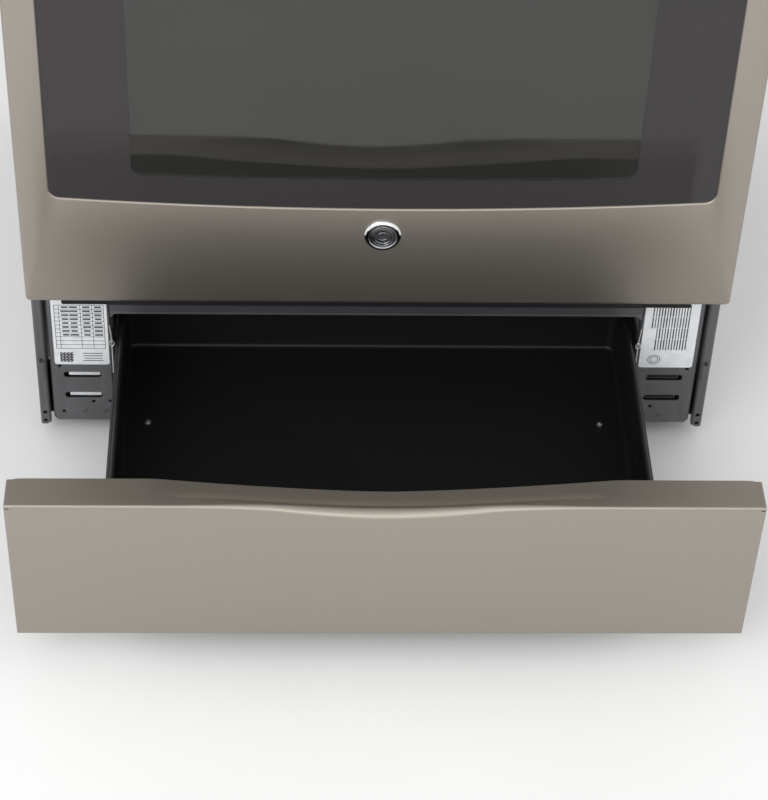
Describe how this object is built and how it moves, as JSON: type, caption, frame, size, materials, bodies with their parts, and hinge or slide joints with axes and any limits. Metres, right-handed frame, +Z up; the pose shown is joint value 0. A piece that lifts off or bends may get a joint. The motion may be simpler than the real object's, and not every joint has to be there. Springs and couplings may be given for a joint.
{
  "type": "freestanding gas range",
  "caption": "Freestanding gas range with a glass-windowed oven door, sloped knob panel, cast-iron grates, rear guard and a pull-out storage drawer standing open.",
  "frame": {"origin": "on the floor, at the middle of the box of the whole range with its drawer open", "axes": "+Z up, -Y out of the front of the range, +X to the right as seen from the front"},
  "size_m": [0.7568, 0.9678, 1.194],
  "materials": {
    "slate_steel": "satin warm slate, fine horizontal grain",
    "grey_paint": "satin mid-grey paint",
    "dark_paint": "satin dark grey paint",
    "black_enamel": "glossy black porcelain enamel",
    "zinc": "bright zinc plate",
    "glass": "dark tinted gloss",
    "cast_iron": "matte black",
    "aluminium": "cast satin",
    "chrome": "polished",
    "brass": "machined",
    "nylon": "natural nylon"
  },
  "bodies": {
    "range_body": {"side_panel_left": "grey_paint", "side_panel_right": "grey_paint", "rear_panel": "zinc", "front_plate_left": "grey_paint", "front_plate_right": "grey_paint", "lower_crossbar": "dark_paint", "oven_liner": "black_enamel", "oven_floor_panel": "black_enamel", "bake_burner": "aluminium", "broil_burner": "aluminium", "oven_rack_upper": "chrome", "oven_rack_lower": "chrome", "cooktop": "black_enamel", "grate_left": "cast_iron", "grate_centre": "cast_iron", "grate_right": "cast_iron", "burner_head_1": "aluminium", "burner_head_2": "aluminium", "burner_head_3": "aluminium", "burner_head_4": "aluminium", "burner_head_5": "aluminium", "burner_cap_1": "cast_iron", "burner_cap_2": "cast_iron", "burner_cap_3": "cast_iron", "burner_cap_4": "cast_iron", "burner_cap_5": "cast_iron", "knob_panel": "slate_steel", "gas_manifold": "brass", "backguard": "slate_steel", "control_glass": "glass", "drawer_guide_left": "zinc", "drawer_guide_right": "zinc"},
    "drawer": {"drawer_front": "slate_steel", "drawer_pan": "black_enamel", "drawer_rail_left": "zinc", "drawer_rail_right": "zinc"},
    "oven_door": {"door_skin": "slate_steel", "door_glass": "glass", "door_liner": "black_enamel", "door_inner_glass": "glass", "door_handle": "slate_steel", "door_badge": "chrome", "door_hinge_left": "zinc", "door_hinge_right": "zinc"},
    "stem_1": {"valve_stem_1": "brass"},
    "knob_1": {"knob_1": "slate_steel"},
    "stem_2": {"valve_stem_2": "brass"},
    "knob_2": {"knob_2": "slate_steel"},
    "stem_3": {"valve_stem_3": "brass"},
    "knob_3": {"knob_3": "slate_steel"},
    "stem_4": {"valve_stem_4": "brass"},
    "knob_4": {"knob_4": "slate_steel"},
    "stem_5": {"valve_stem_5": "brass"},
    "knob_5": {"knob_5": "slate_steel"},
    "leg_front_left": {"leg_front_left": "zinc"},
    "leg_front_right": {"leg_front_right": "zinc"},
    "leg_rear_left": {"leg_rear_left": "zinc"},
    "leg_rear_right": {"leg_rear_right": "zinc"},
    "guide_roller_left": {"guide_roller_left": "nylon"},
    "guide_roller_right": {"guide_roller_right": "nylon"}
  },
  "joints": [
    {"name": "drawer_slide", "type": "slide", "parent": "range_body", "child": "drawer", "axis": [0, -1, 0], "range_m": [-0.2982, 0]},
    {"name": "door_hinge", "type": "hinge", "parent": "range_body", "child": "oven_door", "pos_m": [0, -0.17105, 0.2575], "axis": [1, 0, 0], "range_deg": [0, 90], "stiffness_Nm_per_rad": 10, "springref_deg": -17.19},
    {"name": "knob_push_1", "type": "slide", "parent": "range_body", "child": "stem_1", "axis": [0, 0.9887, -0.1498], "range_m": [0, 0.004], "stiffness_N_per_m": 800, "springref_m": -0.003},
    {"name": "knob_turn_1", "type": "hinge", "parent": "stem_1", "child": "knob_1", "pos_m": [-0.27, -0.17661, 0.84], "axis": [0, -0.9887, 0.1498], "range_deg": [0, 240]},
    {"name": "knob_push_2", "type": "slide", "parent": "range_body", "child": "stem_2", "axis": [0, 0.9887, -0.1498], "range_m": [0, 0.004], "stiffness_N_per_m": 800, "springref_m": -0.003},
    {"name": "knob_turn_2", "type": "hinge", "parent": "stem_2", "child": "knob_2", "pos_m": [-0.155, -0.17661, 0.84], "axis": [0, -0.9887, 0.1498], "range_deg": [0, 240]},
    {"name": "knob_push_3", "type": "slide", "parent": "range_body", "child": "stem_3", "axis": [0, 0.9887, -0.1498], "range_m": [0, 0.004], "stiffness_N_per_m": 800, "springref_m": -0.003},
    {"name": "knob_turn_3", "type": "hinge", "parent": "stem_3", "child": "knob_3", "pos_m": [0, -0.17661, 0.84], "axis": [0, -0.9887, 0.1498], "range_deg": [0, 240]},
    {"name": "knob_push_4", "type": "slide", "parent": "range_body", "child": "stem_4", "axis": [0, 0.9887, -0.1498], "range_m": [0, 0.004], "stiffness_N_per_m": 800, "springref_m": -0.003},
    {"name": "knob_turn_4", "type": "hinge", "parent": "stem_4", "child": "knob_4", "pos_m": [0.155, -0.17661, 0.84], "axis": [0, -0.9887, 0.1498], "range_deg": [0, 240]},
    {"name": "knob_push_5", "type": "slide", "parent": "range_body", "child": "stem_5", "axis": [0, 0.9887, -0.1498], "range_m": [0, 0.004], "stiffness_N_per_m": 800, "springref_m": -0.003},
    {"name": "knob_turn_5", "type": "hinge", "parent": "stem_5", "child": "knob_5", "pos_m": [0.27, -0.17661, 0.84], "axis": [0, -0.9887, 0.1498], "range_deg": [0, 240]},
    {"name": "leg_front_left_turn", "type": "hinge", "parent": "range_body", "child": "leg_front_left", "pos_m": [-0.352, -0.07605, 0], "axis": [0, 0, 1], "continuous": true},
    {"name": "leg_front_right_turn", "type": "hinge", "parent": "range_body", "child": "leg_front_right", "pos_m": [0.352, -0.07605, 0], "axis": [0, 0, 1], "continuous": true},
    {"name": "leg_rear_left_turn", "type": "hinge", "parent": "range_body", "child": "leg_rear_left", "pos_m": [-0.352, 0.41895, 0], "axis": [0, 0, 1], "continuous": true},
    {"name": "leg_rear_right_turn", "type": "hinge", "parent": "range_body", "child": "leg_rear_right", "pos_m": [0.352, 0.41895, 0], "axis": [0, 0, 1], "continuous": true},
    {"name": "guide_roller_left_spin", "type": "hinge", "parent": "range_body", "child": "guide_roller_left", "pos_m": [0, -0.11105, 0.1086], "axis": [1, 0, 0], "continuous": true},
    {"name": "guide_roller_right_spin", "type": "hinge", "parent": "range_body", "child": "guide_roller_right", "pos_m": [0, -0.11105, 0.1086], "axis": [1, 0, 0], "continuous": true}
  ],
  "couplings": [
    {"joint": "guide_roller_left_spin", "follows": "drawer_slide", "rad_per_m": 111.11},
    {"joint": "guide_roller_right_spin", "follows": "drawer_slide", "rad_per_m": 111.11}
  ]
}
